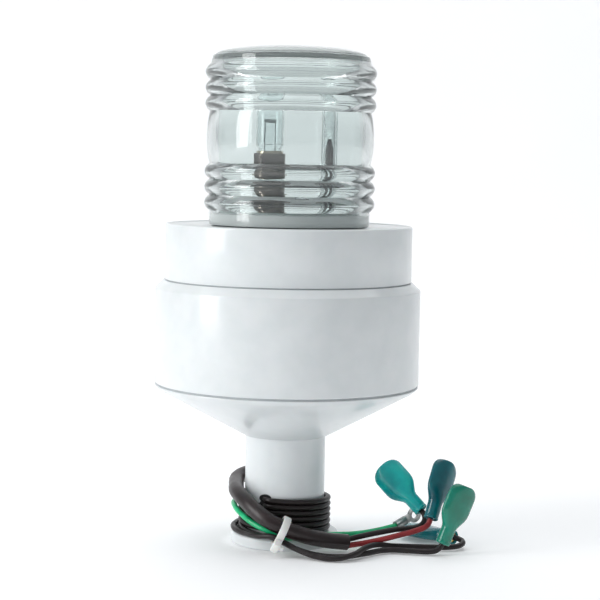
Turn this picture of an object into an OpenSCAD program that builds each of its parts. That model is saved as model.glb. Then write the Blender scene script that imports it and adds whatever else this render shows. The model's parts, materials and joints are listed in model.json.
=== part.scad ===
// Navigation light: a clear ribbed all-round lens on a stepped white housing, on a short stem
// with a foot. Its lead and loose wires are wound once round the stem and held by a tie.
// The origin is the centre of the foot's bottom face, +Z is up, -Y is the front, and the
// ends of the wires point to +X.

/* [Foot and stem] */
// Radius of the foot disc
foot_r = 18.6; // [18:0.1:19]
// Thickness of the foot disc
foot_t = 4; // [3.5:0.1:4.2]
// Outer radius of the stem
stem_r = 13.8; // [13.6:0.1:13.8]
// Wall of the stem
stem_wall = 2.6; // [2.2:0.1:2.8]
// Minor radius of the pipe thread in the foot
thread_r = 9.32; // [9.32]
// Depth of the pipe thread
thread_depth = 7; // [5:0.5:7]

/* [Housing] */
// Height where the cone meets the stem
cone_z = 37.3; // [36:0.1:39]
// Height of the seam between cone and drum
seam_z = 55; // [54:0.5:56]
// Outer radius of the drum
drum_r = 45.6; // [45:0.1:47]
// Height of the drum's outer shoulder corner
shoulder_z = 88.4; // [86:0.1:88.6]
// Outer radius of the cap
cap_r = 42.4; // [42:0.1:43]
// Height of the cap's lower edge
cap_z = 91; // [91:0.1:92]
// Height of the flat deck under the lens
deck_z = 109.5; // [109:0.1:110]
// Wall of the moulded shells
shell_wall = 2.4; // [2:0.1:3]

/* [Lens] */
// Radius of the lens in the valleys between its ribs
lens_r = 27.6; // [27.4:0.1:28]
// How far the ribs stand out
rib_out = 1.7; // [1.2:0.1:2]
// Distance between neighbouring ribs
rib_pitch = 5.35; // [5:0.05:5.5]
// How far the smooth middle belt bulges
belt_out = 1.2; // [0.8:0.1:1.5]
// Inner radius of the lens
lens_bore_r = 24.6; // [24.4:0.1:24.8]
// Height of the lens's top corner
lens_top_z = 167.4; // [166:0.1:168]
// Height of the dome above the top corner
dome_h = 3.5; // [1:0.1:4]

/* [Lamp] */
// Sideways place of the lamp's axis
lamp_x = -7; // [-8:0.5:-6]
// Outer radius of the bayonet socket
socket_r = 5.35; // [5.3:0.05:5.5]
// Height of the socket's rim
socket_top_z = 134; // [133.5:0.1:134]
// Radius of the bulb's metal base
base_r = 4.6; // [4.5:0.05:4.6]
// Radius of the bulb's glass
glass_r = 4.7; // [4.4:0.1:5]
// Height of the top of the bulb
bulb_top_z = 152; // [148:0.5:155]
// How far the bulb is pushed down to free it
push_travel = 1.5; // [1:0.1:1.5]
// How far the bulb turns to free it, in degrees
turn_travel = 20; // [15:1:20]

/* [Light sensor] */
// Sideways place of the sensor post
sensor_x = 13.5; // [12:0.5:14.5]
// Radius of the sensor post
post_r = 2.75; // [2.5:0.05:3]
// Height of the top of the post
post_top_z = 149.5; // [142:0.5:151]
// Height of the tip of the light sensor inside the post
sensor_top_z = 139.4; // [136:0.2:141]

/* [Lead and wires] */
// Outside diameter of the sheathed lead
sheath_d = 5.4; // [5:0.1:5.4]
// Outside diameter of each loose wire
wire_d = 1.9; // [1.6:0.1:1.9]

/* [Terminals] */
// Length of a terminal's sleeve
sleeve_l = 21; // [20:0.5:23]
// Width of a sleeve across its flat end
sleeve_w = 11.4; // [10.5:0.1:12]
// Thickness of a sleeve's flat end
sleeve_t = 4.6; // [4.2:0.1:5]
// Outer radius of a sleeve's wire end
sleeve_r = 2.5; // [2.4:0.05:2.7]

/* [Hidden] */
$fn = 96;
white = "#F4F5F6";
gap = 0.05;                      // space between pieces that only rest on each other
stem_bore_r = stem_r - stem_wall;
bush_top_z = thread_depth + 0.8;
neck_top_z = 48;                 // top of the sleeve that holds the stem in the cone
chamfer = 1.5;                   // bevel under the cone's rim
seal_t = 0.6;                    // thickness of the two flat housing seals
drum_bottom_z = seam_z + seal_t;
flange_top_z = cap_z - 0.4;
flange_bottom_z = flange_top_z - 3;
deck_bottom_z = deck_z - 2.6;
boss_pcd_r = 37;                 // circle of the four cap screws
board_z = 90.4;
board_t = 1.6;
board_pcd_r = 24;                // circle of the three board screws
platform_top_z = deck_z + 2.5;
collar_r = 23.6;
collar_top_z = deck_z + 6.5;
pin_z = 129;                     // height of the bulb's two locking pins
spring_z = [115.6, 121.4];       // ends of the contact spring
spring_turns = 4;
board_top_z = board_z + board_t;
rib_low_z = 117.3;               // lowest rib of the lower group
rib_high_z = 151;                // lowest rib of the upper group
exit_r = 12.9;                   // how far out in the stem's wall each passage is placed
black_exit_deg = -124;           // compass places of the black wires, the lead, the green wire
lead_exit_deg = 59.5;
green_exit_deg = 40;
exit_slant = 54;                 // how far each passage leans from straight outwards
black_exit_z = [16.8, 14.8];
lead_exit_z = 22;
green_exit_z = 16.8;
set_screw_z = 30.2;
wrap_r = 15.1;                   // centre line of the wires wound on the stem
wrap_pitch = 3.95;
tie_at = [-1.5, -22.6, 7.8];
tie_pitch = 25;                  // slope of the bundle where the tie holds it

// ---- Routes of the lead and the wires -------------------------------------------------

function around(r, deg, z) = [r * cos(deg), r * sin(deg), z];
function wind(r, from, to, z_from, z_to, steps) =
    [for (i = [0:steps])
        around(r, from + (to - from) * i / steps, z_from + (z_to - z_from) * i / steps)];

function wrap(from, to, steps, z_front) =
    wind(wrap_r, from, to, z_front - (from + 90) * wrap_pitch / 360,
         z_front - (to + 90) * wrap_pitch / 360, steps);

lead_route = [
    around(exit_r, lead_exit_deg, lead_exit_z), [4.7, 15.3, 22], [2, 19.1, 21.7],
    [-2, 21.5, 21.3], [-6.6, 22, 20.8], [-11.1, 20.6, 20.2], [-14.5, 17.5, 19.7],
    [-16.4, 13.3, 19.2], [-16.8, 8, 18.7], [-16.8, 2.5, 18.4], around(17, 190, 18.1),
    around(17.8, 210, 17.4), around(19.2, 227, 16), around(20.8, 241, 13.8),
    [-5.6, -21.9, 11.2], [-0.9, -22.6, 9.1], [6, -21.9, 6.5], [13, -20, 4.6],
    [21, -17.3, 3.2]];
lead_black_route = [
    [21.5, -17, 4.2], [27, -15.4, 5.2], [33, -13.8, 6.1], [38, -12.4, 6.7], [42, -11.3, 6.9],
    [45.3, -10.4, 7.2], [47.1, -9.5, 7.9], [48.1, -8.4, 9], [48.2, -7.1, 10.6],
    [47.3, -6, 12.1]];
lead_red_route = [
    [21.4, -17.7, 2.2], [27, -17.2, 3], [33, -16.4, 4.1], [39, -15.2, 5.4], [45, -14.2, 6.9],
    [48.6, -13.5, 8.5], [49.7, -13, 10.6]];
wire_black_1_route = concat(
    [around(exit_r, black_exit_deg, black_exit_z[0]), around(15.3, -113, 16.65)],
    wrap(-98, 910, 56, 16.35),
    [around(15.7, 927, 5.2), [-11.6, -12, 5.1], [-8.4, -18.2, 5.4], [-4.3, -22.2, 5.6],
     [-1.2, -22.7, 4.3], [3.6, -25, 2.4], [11, -28.4, 1.15], [18.3, -30, 1.15],
     [26.2, -25.4, 1.15], [34.8, -19.4, 1.15], [41, -20.2, 1.15], [45, -21.2, 1.15],
     [49, -21.6, 1.2], [50.7, -21.7, 1.6], [52, -21.7, 2.6], [52.9, -21.5, 3.9]]);
wire_black_2_route = concat(
    [around(exit_r, black_exit_deg, black_exit_z[1]), around(15.3, -113, 14.7)],
    wrap(-98, 712, 45, 14.4),
    [around(15.15, 730, 5.35), around(15.5, 748, 5.15), around(16, 768, 5.1),
     around(16.5, 790, 5.1), around(16.9, 815, 5.1), around(17.2, 842, 5.1),
     around(17.4, 868, 5.1), around(17.5, 890, 5.1), around(17.9, 910, 5.2),
     around(18.5, 928, 5.2), [-13.7, -13.4, 5.2], [-9.4, -20.4, 5.8],
     [-4.2, -24.4, 6.3], [-1.1, -24.9, 4.9], [3.8, -27.4, 2.8], [10.5, -30.7, 1.15],
     [17, -32.6, 1.15], [22.5, -30.8, 2.2], [26.5, -25.6, 3.2], [31, -19.8, 3],
     [37, -15.2, 1.6], [43.5, -13.9, 1.15], [50, -14.3, 1.15], [57, -14.5, 1.25],
     [60, -13.2, 1.6], [61.3, -10.2, 2.1], [60, -7.2, 2.6], [58.9, -6.1, 2.7]]);
wire_green_route = [
    around(exit_r, green_exit_deg, green_exit_z), around(15.4, 51, 16.7), around(16.9, 66, 16.4),
    around(17.2, 85, 15.7), around(17.4, 105, 14.9), around(17.5, 125, 14.1),
    around(17.6, 146, 13.4),
    around(17.6, 168, 13), around(17.6, 190, 12.8), [-14.8, -11.2, 11.2], [-9.6, -17.4, 8.6],
    [-4.2, -20.3, 6.8], [-1.1, -20.4, 5.4], [4, -18.9, 5.2], [10, -16.4, 5.4], [17, -13, 4.9],
    [24, -10.2, 4.6], [31, -7.6, 5.1], [38.6, -4.6, 6.3]];
inner_cable_route = [
    [6.67, 10.84, lead_exit_z], [8.4, 6.9, 22], [6.2, 4.6, 23.4], [3, 3.4, 27],
    [1.5, 3, 32], [1.5, 3, 44], [4, -2, 54], [6, -10, 64], [6.5, -16, 73], [6.5, -16, 80.4]];
inner_wire_routes = [
    [around(exit_r, black_exit_deg, black_exit_z[0]), [-8.8, -6.4, 16.8], [-6.4, -3.8, 18.4],
     [-4.6, -2, 22], [-4.6, -2, 44], [-5.4, -9, 58], [-7, -16, 72], [-7, -16, 80.4]],
    [around(exit_r, black_exit_deg, black_exit_z[1]), [-8.8, -6.4, 14.8], [-5.4, -5.2, 16.2],
     [-1.8, -4.2, 21], [-1.8, -4.2, 44], [-2.2, -11, 58], [-3.2, -16, 72], [-3.2, -16, 80.4]],
    [around(exit_r, green_exit_deg, green_exit_z), [10.2, 3.7, 16.8], [7.6, 0.6, 18.4],
     [5.6, -1.6, 22], [5.6, -1.6, 44], [3, -9, 58], [1, -16, 72], [1, -16, 80.4]]];

// Each terminal: where its wire goes in, the direction it points in, and its turn about that
terminals = [
    [[47.3, -6, 12.1], [-0.63, 0.42, 0.65], 15],
    [[49.7, -13, 10.6], [0.29, 0.38, 0.87], -15],
    [[52.9, -21.5, 3.9], [0.37, 0.12, 0.92], 10],
    [[58.9, -6.1, 2.7], [-0.72, 0.69, 0], 90]];
ring_terminal_at = [[38.6, -4.6, 6.3], [0.78, 0.5, 0.36], 0];

// ---- Shared shapes --------------------------------------------------------------------

function unit(v) = v / norm(v);
function tangent(p, i) = unit(p[min(i + 1, len(p) - 1)] - p[max(i - 1, 0)]);
function ring_points(p, i, d, sides, across) =
    let (t = tangent(p, i), u = unit(cross(t, across)), v = cross(t, u))
    [for (k = [0:sides - 1]) p[i] + d / 2 * (cos(360 * k / sides) * u + sin(360 * k / sides) * v)];

// A closed round tube through every point of a route
module tube(route, d, sides = 8, across = [0, 0, 1]) {
    last = len(route) - 1;
    points = [for (i = [0:last]) each ring_points(route, i, d, sides, across)];
    sides_lower = [for (i = [0:last - 1], k = [0:sides - 1])
        [i * sides + k, (i + 1) * sides + k, (i + 1) * sides + (k + 1) % sides]];
    sides_upper = [for (i = [0:last - 1], k = [0:sides - 1])
        [i * sides + k, (i + 1) * sides + (k + 1) % sides, i * sides + (k + 1) % sides]];
    first_end = [for (k = [0:sides - 1]) k];
    last_end = [for (k = [sides - 1:-1:0]) last * sides + k];
    polyhedron(points, concat(sides_lower, sides_upper, [first_end, last_end]), convexity = 8);
}

module ring(outer, inner, z, h) {
    translate([0, 0, z])
        difference() {
            cylinder(r = outer, h = h);
            translate([0, 0, -1])
                cylinder(r = inner, h = h + 2);
        }
}

module turned(outline) {
    rotate_extrude($fn = 128)
        polygon(outline);
}

// Places children with their +Z along a direction and their origin at a point
module pointing(place) {
    translate(place[0])
        rotate([0, acos(unit(place[1])[2]), atan2(place[1][1], place[1][0])])
            rotate([0, 0, place[2]])
                children();
}

module on_circle(count, r, start = 0) {
    for (i = [0:count - 1])
        rotate([0, 0, start + i * 360 / count])
            translate([r, 0, 0])
                children();
}

// The slanted passages through the stem's wall, each wider by extra than its wire
module wire_passages(extra, back, front) {
    places = [
        [black_exit_deg, black_exit_z[0], wire_d], [black_exit_deg, black_exit_z[1], wire_d],
        [lead_exit_deg, lead_exit_z, sheath_d], [green_exit_deg, green_exit_z, wire_d]];
    for (place = places)
        translate(around(exit_r, place[0], place[1]))
            rotate([0, 90, place[0] + exit_slant])
                translate([0, 0, -back])
                    cylinder(r = place[2] / 2 + extra, h = back + front);
}

// A pan-head screw whose head's underside is at z = 0 and whose shank goes up
module screw(shank_r, length, head_r, head_h) {
    cylinder(r = shank_r, h = length, $fn = 32);
    difference() {
        translate([0, 0, -head_h])
            cylinder(r = head_r, h = head_h, $fn = 32);
        translate([-head_r - 1, -0.4, -head_h - 1])
            cube([2 * head_r + 2, 0.8, 1.6]);
    }
}

// ---- Foot and stem --------------------------------------------------------------------

module foot_flange() {
    color(white)
        turned([[stem_bore_r, 0], [foot_r - 0.6, 0], [foot_r, 0.6], [foot_r, foot_t - 1],
                [foot_r - 0.3, foot_t - 0.3], [foot_r - 1, foot_t], [stem_bore_r, foot_t]]);
}

module threaded_bush() {
    color("silver")
        difference() {
            cylinder(r = stem_bore_r, h = bush_top_z);
            translate([0, 0, -1])
                cylinder(r = thread_r, h = thread_depth + 1);
        }
}

module stem_tube() {
    color(white)
        difference() {
            ring(stem_r, stem_bore_r, foot_t, neck_top_z - foot_t);
            wire_passages(0.6, 8, 6);
            translate([stem_r - stem_wall - 1, 0, set_screw_z])
                rotate([0, 90, 0])
                    cylinder(r = 1.2, h = stem_wall + 2, $fn = 32);
        }
}

module stem_set_screw() {
    color("dimgray")
        translate([stem_r - stem_wall + 0.2, 0, set_screw_z])
            rotate([0, 90, 0])
                difference() {
                    cylinder(r = 1.2, h = stem_wall - 0.4, $fn = 32);
                    translate([0, 0, 1.2])
                        cylinder(r = 0.7, h = 2, $fn = 6);
                }
}

module cable_grommet() {
    color("#202022")
        difference() {
            intersection() {
                wire_passages(0.6, 3.6, 3.1);
                ring(stem_r - 0.1, stem_bore_r - 1, foot_t + 1, 20);
            }
            wire_passages(0, 12, 12);
        }
}

// ---- Housing --------------------------------------------------------------------------

module cone_base() {
    neck_r = stem_r + gap;
    rim_in = drum_r - shell_wall - gap;
    color(white)
        turned([[neck_r, cone_z], [stem_r + 0.4, cone_z], [drum_r - chamfer, seam_z - chamfer],
                [drum_r, seam_z], [rim_in, seam_z], [rim_in, seam_z + 6],
                [rim_in - 2, seam_z + 6], [rim_in - 2, seam_z],
                [neck_r + shell_wall, cone_z + shell_wall + 1.5],
                [neck_r + shell_wall, neck_top_z], [neck_r, neck_top_z]]);
}

module cone_seal() {
    color("#6F7275")
        ring(drum_r - 0.35, drum_r - shell_wall, seam_z, seal_t);
}

module body_drum() {
    bore = drum_r - shell_wall;
    color(white)
        difference() {
            turned([[bore, drum_bottom_z], [drum_r - 0.4, drum_bottom_z],
                    [drum_r, drum_bottom_z + 0.4], [drum_r, shoulder_z - 0.3],
                    [drum_r - 0.2, shoulder_z + 0.1], [cap_r + 0.5, flange_top_z],
                    [cap_r - 8.6, flange_top_z], [cap_r - 8.6, flange_bottom_z],
                    [bore - 2, flange_bottom_z], [bore, flange_bottom_z - 2]]);
            on_circle(4, boss_pcd_r, 45)
                translate([0, 0, flange_bottom_z - 1])
                    cylinder(r = 1.7, h = 5, $fn = 32);
        }
}

module cap_seal() {
    color("#6F7275")
        ring(cap_r - 0.3, cap_r - 2, flange_top_z, cap_z - flange_top_z);
}

module top_cap() {
    inner = cap_r - shell_wall;
    color(white)
        difference() {
            union() {
                turned([[0, deck_bottom_z], [inner - 1.5, deck_bottom_z],
                        [inner, deck_bottom_z - 1.5], [inner, cap_z], [cap_r - 0.2, cap_z],
                        [cap_r, cap_z + 0.2], [cap_r, deck_z - 0.2], [cap_r - 0.2, deck_z + 0.3],
                        [cap_r - 0.7, deck_z + 0.5], [cap_r - 1.4, deck_z + 0.3],
                        [cap_r - 1.9, deck_z], [0, deck_z]]);
                on_circle(4, boss_pcd_r, 45)
                    translate([0, 0, flange_top_z])
                        cylinder(r = 3, h = deck_bottom_z - flange_top_z, $fn = 48);
            }
            on_circle(4, boss_pcd_r, 45)
                translate([0, 0, flange_top_z - 1])
                    cylinder(r = 1.3, h = 11, $fn = 32);
            translate([lamp_x, 0, deck_bottom_z - 1])
                cylinder(r = 2.5, h = 5, $fn = 48);
            translate([sensor_x, 0, deck_bottom_z - 1])
                cylinder(r = 1.6, h = 5, $fn = 32);
        }
}

module cap_screws() {
    color("silver")
        on_circle(4, boss_pcd_r, 45)
            translate([0, 0, flange_bottom_z])
                screw(1.25, 12, 2.8, 1.8);
}

// ---- Circuit inside the housing -------------------------------------------------------

module circuit_board() {
    color("#2E7D4F")
        difference() {
            translate([0, 0, board_z])
                cylinder(r = 33, h = board_t);
            on_circle(3, board_pcd_r, 30)
                translate([0, 0, board_z - 1])
                    cylinder(r = 1.4, h = board_t + 2, $fn = 32);
        }
}

module board_standoffs() {
    color("silver")
        on_circle(3, board_pcd_r, 30)
            ring(2.8, 1.3, board_top_z, deck_bottom_z - board_top_z);
}

module board_screws() {
    color("gray")
        on_circle(3, board_pcd_r, 30)
            translate([0, 0, board_z])
                screw(1.2, 7, 2.5, 1.6);
}

module capacitor() {
    color("#27335C")
        translate([-20, -8, board_z - 16])
            difference() {
                cylinder(r = 6.3, h = 16);
                translate([0, 0, 1.6])
                    ring(7, 5.9, 0, 0.8);
            }
}

module relay() {
    color("#2B2D30")
        translate([-2, 1, board_z - 15.5])
            difference() {
                cube([19, 15.4, 15.5]);
                translate([2, 2, -1])
                    cube([15, 11.4, 1.4]);
            }
}

module terminal_block() {
    color("#3C8A57")
        translate([-12, -20, board_z - 10])
            difference() {
                cube([24, 8, 10]);
                for (i = [0:3])
                    translate([3 + 6 * i, 4, -1])
                        cylinder(r = 1.8, h = 4, $fn = 24);
            }
}

module inner_cable() {
    color("#2A2220")
        tube(inner_cable_route, 5, 8, [1, 0.3, 0]);
}

module inner_wires() {
    color("#262626")
        for (route = inner_wire_routes)
            tube(route, wire_d - 0.1, 8, [1, 0.3, 0]);
}

// ---- Lamp on the deck -----------------------------------------------------------------

module lens_collar() {
    color(white)
        turned([[20.4, deck_z], [collar_r, deck_z], [collar_r, collar_top_z - 0.8],
                [collar_r - 0.8, collar_top_z], [20.4, collar_top_z]]);
}

module lamp_platform() {
    color("#D9DADB")
        difference() {
            turned([[0, deck_z], [20.3, deck_z], [20.3, platform_top_z - 0.5],
                    [19.8, platform_top_z], [0, platform_top_z]]);
            translate([lamp_x, 0, deck_z - 1])
                cylinder(r = 2.5, h = 5, $fn = 48);
            translate([sensor_x, 0, deck_z - 1])
                cylinder(r = 1.6, h = 5, $fn = 32);
            for (side = [-1, 1])
                translate([4, side * 14, deck_z - 1])
                    cylinder(r = 1.3, h = 5, $fn = 32);
        }
}

module platform_screws() {
    color("silver")
        for (side = [-1, 1])
            translate([4, side * 14, platform_top_z])
                mirror([0, 0, 1])
                    screw(1.2, 2.4, 2.4, 1.4);
}

module lamp_socket() {
    bore_r = base_r + 0.15;
    slot_low = pin_z - push_travel - 1.3;
    slot_high = pin_z + 1.2;
    color("#6B5F52")
        translate([lamp_x, 0, 0])
            difference() {
                union() {
                    ring(socket_r, bore_r, platform_top_z, socket_top_z - platform_top_z);
                    ring(socket_r + 2, bore_r, platform_top_z, 1);
                }
                for (side = [0, 180])
                    rotate([0, 0, side]) {
                        rotate([0, 0, -15])
                            translate([0, 0, slot_low])
                                rotate_extrude(angle = turn_travel + 30)
                                    translate([base_r - 1, 0])
                                        square([3, slot_high - slot_low]);
                        rotate([0, 0, turn_travel])
                            translate([base_r - 1, -1.2, slot_low])
                                cube([3, 2.4, socket_top_z]);
                    }
            }
}

module socket_insulator() {
    color("#3A2A22")
        translate([lamp_x, 0, 0])
            ring(base_r + 0.1, 0.7, platform_top_z, spring_z[0] - platform_top_z);
}

module contact_spring() {
    steps = spring_turns * 10;
    coil_r = 3.2;
    rise = (spring_z[1] - spring_z[0] - 0.8) / steps;
    color("goldenrod")
        tube([for (i = [0:steps])
                [lamp_x, 0, spring_z[0] + 0.4] + around(coil_r, 36 * i, rise * i)], 0.7, 6);
}

module contact_plunger() {
    color("goldenrod")
        translate([lamp_x, 0, spring_z[1]]) {
            cylinder(r = base_r - 0.2, h = 1.2);
            cylinder(r = 1.3, h = 2.1, $fn = 48);
        }
}

module post_bracket() {
    z = 117.4;
    t = 1.2;
    color("#4A4D50")
        difference() {
            union() {
                translate([lamp_x, 0, z])
                    cylinder(r = socket_r + 1.6, h = t);
                translate([sensor_x, 0, z])
                    cylinder(r = post_r + 1.6, h = t);
                translate([lamp_x, -2.6, z])
                    cube([sensor_x - lamp_x, 5.2, t]);
            }
            translate([lamp_x, 0, z - 1])
                cylinder(r = socket_r, h = t + 2);
            translate([sensor_x, 0, z - 1])
                cylinder(r = post_r, h = t + 2);
        }
}

module sensor_post() {
    color("#E8EAEB")
        translate([sensor_x, 0, 0]) {
            ring(post_r, 1.6, platform_top_z, post_top_z - platform_top_z);
            ring(post_r + 1.4, 1.6, platform_top_z, 1.5);
        }
}

module light_sensor() {
    body_z = sensor_top_z - 8.4;
    color("#5A2F28")
        translate([sensor_x, 0, 0]) {
            translate([0, 0, body_z])
                cylinder(r = 1.4, h = 4.4, $fn = 32);
            translate([0, 0, body_z + 4.4])
                cylinder(r1 = 1.4, r2 = 0.6, h = 4, $fn = 32);
            for (side = [-1, 1])
                translate([side * 0.8, 0, deck_z])
                    cylinder(r = 0.5, h = body_z - deck_z, $fn = 24);
        }
}

// ---- Lens -----------------------------------------------------------------------------

module lens_gasket() {
    color("#303234")
        ring(26.2, collar_r + 0.4, deck_z + gap, 1.1);
}

// The outer edge of three rounded ribs, from the valley below the first at low_z
function rib_points(low_z) =
    [for (rib = [0:2], step = [0:7])
        [lens_r + rib_out * pow(sin(22.5 * step), 0.8),
         low_z + rib_pitch * (rib - 0.5 + step / 8)]];

module lens() {
    skirt_z = deck_z + 0.3;
    roof_t = 3;
    belt_z = (rib_low_z + rib_high_z + 2 * rib_pitch) / 2;
    belt_half = belt_z - (rib_low_z + 2.5 * rib_pitch);
    belt = [for (i = [0:12])
        [lens_r - 0.2 + belt_out * pow(cos(15 * (i - 6)), 0.5), belt_z + belt_half * (i - 6) / 6]];
    dome = [for (i = [0:6])
        [(lens_r - 1.4) * cos(15 * i), lens_top_z + dome_h * sin(15 * i)]];
    roof = [for (i = [6:-1:0])
        [lens_bore_r * cos(15 * i), lens_top_z - roof_t + (dome_h - 0.4) * sin(15 * i)]];
    color("#DDEFEA", 0.35)
        turned(concat(
            [[26.6, skirt_z], [lens_r - 0.2, skirt_z], [lens_r, skirt_z + 0.3]],
            rib_points(rib_low_z), belt, rib_points(rib_high_z),
            [[lens_r, rib_high_z + 2.5 * rib_pitch], [lens_r - 0.6, lens_top_z - 0.6]],
            dome, roof,
            [[lens_bore_r, collar_top_z + 1], [collar_r + 0.4, collar_top_z + 0.6],
             [collar_r + 0.4, skirt_z + 1.1], [26.6, skirt_z + 1.1]]));
}

// ---- Bulb -----------------------------------------------------------------------------

module bulb_base() {
    color("#B9A77C")
        translate([lamp_x, 0, 0])
            difference() {
                union() {
                    translate([0, 0, 124.2])
                        cylinder(r = base_r, h = 10.6);
                    translate([-base_r - 1.3, 0, pin_z])
                        rotate([0, 90, 0])
                            cylinder(r = 0.9, h = 2 * base_r + 2.6, $fn = 32);
                }
                translate([0, 0, 126])
                    cylinder(r = 4.1, h = 10);
            }
}

module bulb_glass() {
    wall = 0.6;
    dome_z = bulb_top_z - glass_r;
    outer = [for (i = [0:6]) [glass_r * cos(15 * i), dome_z + glass_r * sin(15 * i)]];
    inner = [for (i = [6:-1:0])
        [(glass_r - wall) * cos(15 * i), dome_z + (glass_r - wall) * sin(15 * i)]];
    color("#E4F0F2", 0.35)
        translate([lamp_x, 0, 0])
            turned(concat([[4, 132.5], [4, 135.4], [glass_r, 137]], outer, inner,
                          [[glass_r - wall, 137.4], [3.4, 135.8], [3.4, 132.5]]));
}

module bulb_filament() {
    color("#8C8F92")
        translate([lamp_x, 0, 0]) {
            translate([0, 0, 127])
                cylinder(r = 2.2, h = 7, $fn = 48);
            for (side = [-1, 1])
                translate([side * 1.8, 0, 133])
                    cylinder(r = 0.25, h = 11, $fn = 16);
            translate([-2, 0, 144])
                rotate([0, 90, 0])
                    cylinder(r = 0.4, h = 4, $fn = 16);
        }
}

module bulb_contact() {
    color("silver")
        translate([lamp_x, 0, 123.6])
            cylinder(r = 1.8, h = 0.6, $fn = 48);
}

// ---- Lead, wires and terminals --------------------------------------------------------

module lead_cable() { color("#2B2320") tube(lead_route, sheath_d, 10); }
module lead_black() { color("#1E1E1F") tube(lead_black_route, wire_d); }
module lead_red() { color("#8E1F22") tube(lead_red_route, wire_d); }
module wire_black_1() { color("#1E1E1F") tube(wire_black_1_route, wire_d); }
module wire_black_2() { color("#1E1E1F") tube(wire_black_2_route, wire_d); }
module wire_green() { color("#1F8A4C") tube(wire_green_route, wire_d); }

module cable_tie() {
    color("#F2F2EE")
        translate(tie_at)
            rotate([0, 90 + tie_pitch, 0])
                translate([0, 0, -1.3]) {
                    ring(5.5, 4.45, 0, 2.6);
                    rotate([0, 0, -52])
                        translate([5.4, -2.2, -0.8])
                            cube([2.8, 4.4, 4.2]);
                }
}

module ring_terminal() {
    eye_at = 8.6;
    color("silver")
        pointing(ring_terminal_at) {
            ring(1.6, wire_d / 2 + gap, 0, 4.4);
            rotate([90, 0, 0])
                difference() {
                    union() {
                        translate([-1.4, 4.3, -0.4])
                            cube([2.8, 3, 0.8]);
                        translate([0, eye_at, -0.4])
                            cylinder(r = 2.7, h = 0.8);
                    }
                    translate([0, eye_at, -1])
                        cylinder(r = 1.35, h = 2, $fn = 48);
                }
        }
}

// A soft nylon sleeve: a round wire end that widens into a flat end with a rounded open mouth
module terminal_sleeve(i) {
    neck_l = 6.5;
    corner_r = 3.6;
    side = sleeve_w / 2 - corner_r;
    top = sleeve_l - corner_r;
    color(["#1FA6A8", "#14787C", "#1E9B86", "#1B8C90"][i])
        pointing(terminals[i])
            difference() {
                union() {
                    cylinder(r = sleeve_r, h = neck_l + 1, $fn = 48);
                    intersection() {
                        hull() {
                            translate([0, 0, neck_l])
                                cylinder(r = sleeve_r - 0.1, h = 0.5, $fn = 32);
                            for (way = [-1, 1])
                                translate([way * (sleeve_w - sleeve_t) / 2, 0, neck_l + 4.5])
                                    cylinder(r = sleeve_t / 2, h = top - neck_l + 1, $fn = 32);
                        }
                        rotate([90, 0, 0])
                            linear_extrude(height = 2 * sleeve_t, center = true)
                                polygon(concat(
                                    [[-sleeve_w, neck_l - 1], [sleeve_w, neck_l - 1],
                                     [sleeve_w, neck_l + 4], [side + corner_r, neck_l + 6]],
                                    [for (a = [0:15:90]) [side + corner_r * cos(a),
                                                          top + corner_r * sin(a)]],
                                    [for (a = [90:15:180]) [-side + corner_r * cos(a),
                                                            top + corner_r * sin(a)]],
                                    [[-side - corner_r, neck_l + 6], [-sleeve_w, neck_l + 4]]));
                    }
                }
                translate([0, 0, -1])
                    cylinder(r = 1.9, h = neck_l + 3.2, $fn = 48);
                translate([-4.2, -1.3, neck_l + 2])
                    cube([8.4, 2.6, sleeve_l]);
            }
}

// The brass receptacle in a sleeve, with its crimped barrel and rolled edges
module terminal_metal(i) {
    color("#C9A24B")
        pointing(terminals[i]) {
            ring(1.8, wire_d / 2 + gap, 0.8, 5.4);
            translate([-1.4, -0.4, 6])
                cube([2.8, 0.8, 3.4]);
            difference() {
                translate([-3.9, -1.1, 9])
                    cube([7.8, 2.2, 9.4]);
                translate([-3.1, -0.5, 8])
                    cube([6.2, 0.9, 13]);
                translate([-1.6, 0, 8])
                    cube([3.2, 2, 13]);
            }
        }
}

foot_flange();
threaded_bush();
stem_tube();
stem_set_screw();
cable_grommet();
cone_base();
cone_seal();
body_drum();
cap_seal();
top_cap();
cap_screws();
circuit_board();
board_standoffs();
board_screws();
capacitor();
relay();
terminal_block();
inner_cable();
inner_wires();
lens_collar();
lamp_platform();
platform_screws();
lamp_socket();
socket_insulator();
contact_spring();
contact_plunger();
post_bracket();
sensor_post();
light_sensor();
lens_gasket();
lens();
bulb_base();
bulb_glass();
bulb_filament();
bulb_contact();
lead_cable();
lead_black();
lead_red();
wire_black_1();
wire_black_2();
wire_green();
cable_tie();
ring_terminal();
terminal_sleeve(0);  // terminal_sleeve_1
terminal_sleeve(1);  // terminal_sleeve_2
terminal_sleeve(2);  // terminal_sleeve_3
terminal_sleeve(3);  // terminal_sleeve_4
terminal_metal(0);  // terminal_metal_1
terminal_metal(1);  // terminal_metal_2
terminal_metal(2);  // terminal_metal_3
terminal_metal(3);  // terminal_metal_4
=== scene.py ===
# Navigation light: camera, cords, looks and finish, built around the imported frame, in metres.
import json
import math
import bpy
from mathutils import Matrix, Vector


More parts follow.
